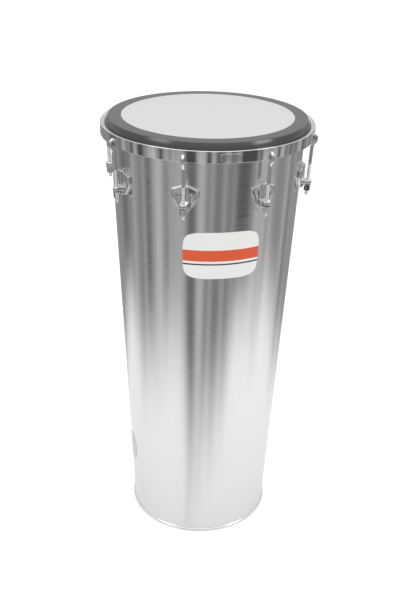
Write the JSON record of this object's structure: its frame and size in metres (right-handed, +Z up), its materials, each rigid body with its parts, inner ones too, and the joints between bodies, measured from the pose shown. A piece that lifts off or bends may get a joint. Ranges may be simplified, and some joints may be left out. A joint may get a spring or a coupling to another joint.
{
  "type": "timbal drum",
  "caption": "Tall conical metal hand drum with a white plastic head, an angle-section hoop, and hook rods tightened by nuts under cast lugs.",
  "frame": {"origin": "centre of the drum on the surface that it stands on", "axes": "+Z up along the drum's axis, -Y towards the pictured front"},
  "size_m": [0.3974, 0.3974, 0.85],
  "materials": {
    "polished_aluminium": "polished, fine horizontal brushing",
    "head_film": "white film with a black gloss border",
    "channel_aluminium": "satin",
    "hoop_chrome": "polished",
    "hardware_chrome": "polished",
    "cast_lug_metal": "plated die casting",
    "zinc_steel": "satin"
  },
  "bodies": {
    "drum": {"shell": "polished_aluminium", "drum_head": "head_film", "lug_1": "cast_lug_metal", "washer_1": "zinc_steel", "lug_screw_1": "zinc_steel", "lug_screw_2": "zinc_steel", "lug_2": "cast_lug_metal", "washer_2": "zinc_steel", "lug_screw_3": "zinc_steel", "lug_screw_4": "zinc_steel", "lug_3": "cast_lug_metal", "washer_3": "zinc_steel", "lug_screw_5": "zinc_steel", "lug_screw_6": "zinc_steel", "lug_4": "cast_lug_metal", "washer_4": "zinc_steel", "lug_screw_7": "zinc_steel", "lug_screw_8": "zinc_steel", "lug_5": "cast_lug_metal", "washer_5": "zinc_steel", "lug_screw_9": "zinc_steel", "lug_screw_10": "zinc_steel", "lug_6": "cast_lug_metal", "washer_6": "zinc_steel", "lug_screw_11": "zinc_steel", "lug_screw_12": "zinc_steel", "lug_7": "cast_lug_metal", "washer_7": "zinc_steel", "lug_screw_13": "zinc_steel", "lug_screw_14": "zinc_steel", "lug_8": "cast_lug_metal", "washer_8": "zinc_steel", "lug_screw_15": "zinc_steel", "lug_screw_16": "zinc_steel"},
    "hoop": {"flesh_hoop": "channel_aluminium", "counter_hoop": "hoop_chrome", "tuning_rod_1": "hardware_chrome", "tuning_rod_2": "hardware_chrome", "tuning_rod_3": "hardware_chrome", "tuning_rod_4": "hardware_chrome", "tuning_rod_5": "hardware_chrome", "tuning_rod_6": "hardware_chrome", "tuning_rod_7": "hardware_chrome", "tuning_rod_8": "hardware_chrome"},
    "nut_1": {"tension_nut_1": "hardware_chrome"},
    "nut_2": {"tension_nut_2": "hardware_chrome"},
    "nut_3": {"tension_nut_3": "hardware_chrome"},
    "nut_4": {"tension_nut_4": "hardware_chrome"},
    "nut_5": {"tension_nut_5": "hardware_chrome"},
    "nut_6": {"tension_nut_6": "hardware_chrome"},
    "nut_7": {"tension_nut_7": "hardware_chrome"},
    "nut_8": {"tension_nut_8": "hardware_chrome"}
  },
  "joints": [
    {"name": "hoop_travel", "type": "slide", "parent": "drum", "child": "hoop", "axis": [0, 0, 1], "range_m": [-0.003, 0.002]},
    {"name": "nut_turn_1", "type": "hinge", "parent": "drum", "child": "nut_1", "pos_m": [-0.03781, -0.18585, 0.73416], "axis": [-0.0092, -0.0453, 0.9989], "range_deg": [-567, 850]},
    {"name": "nut_turn_2", "type": "hinge", "parent": "drum", "child": "nut_2", "pos_m": [0.10468, -0.15815, 0.73416], "axis": [0.0255, -0.0385, 0.9989], "range_deg": [-567, 850]},
    {"name": "nut_turn_3", "type": "hinge", "parent": "drum", "child": "nut_3", "pos_m": [0.18585, -0.03781, 0.73416], "axis": [0.0453, -0.0092, 0.9989], "range_deg": [-567, 850]},
    {"name": "nut_turn_4", "type": "hinge", "parent": "drum", "child": "nut_4", "pos_m": [0.15815, 0.10468, 0.73416], "axis": [0.0385, 0.0255, 0.9989], "range_deg": [-567, 850]},
    {"name": "nut_turn_5", "type": "hinge", "parent": "drum", "child": "nut_5", "pos_m": [0.03781, 0.18585, 0.73416], "axis": [0.0092, 0.0453, 0.9989], "range_deg": [-567, 850]},
    {"name": "nut_turn_6", "type": "hinge", "parent": "drum", "child": "nut_6", "pos_m": [-0.10468, 0.15815, 0.73416], "axis": [-0.0255, 0.0385, 0.9989], "range_deg": [-567, 850]},
    {"name": "nut_turn_7", "type": "hinge", "parent": "drum", "child": "nut_7", "pos_m": [-0.18585, 0.03781, 0.73416], "axis": [-0.0453, 0.0092, 0.9989], "range_deg": [-567, 850]},
    {"name": "nut_turn_8", "type": "hinge", "parent": "drum", "child": "nut_8", "pos_m": [-0.15815, -0.10468, 0.73416], "axis": [-0.0385, -0.0255, 0.9989], "range_deg": [-567, 850]}
  ],
  "couplings": [
    {"joint": "nut_turn_1", "follows": "hoop_travel", "rad_per_m": -4942.1},
    {"joint": "nut_turn_2", "follows": "hoop_travel", "rad_per_m": -4942.1},
    {"joint": "nut_turn_3", "follows": "hoop_travel", "rad_per_m": -4942.1},
    {"joint": "nut_turn_4", "follows": "hoop_travel", "rad_per_m": -4942.1},
    {"joint": "nut_turn_5", "follows": "hoop_travel", "rad_per_m": -4942.1},
    {"joint": "nut_turn_6", "follows": "hoop_travel", "rad_per_m": -4942.1},
    {"joint": "nut_turn_7", "follows": "hoop_travel", "rad_per_m": -4942.1},
    {"joint": "nut_turn_8", "follows": "hoop_travel", "rad_per_m": -4942.1}
  ]
}
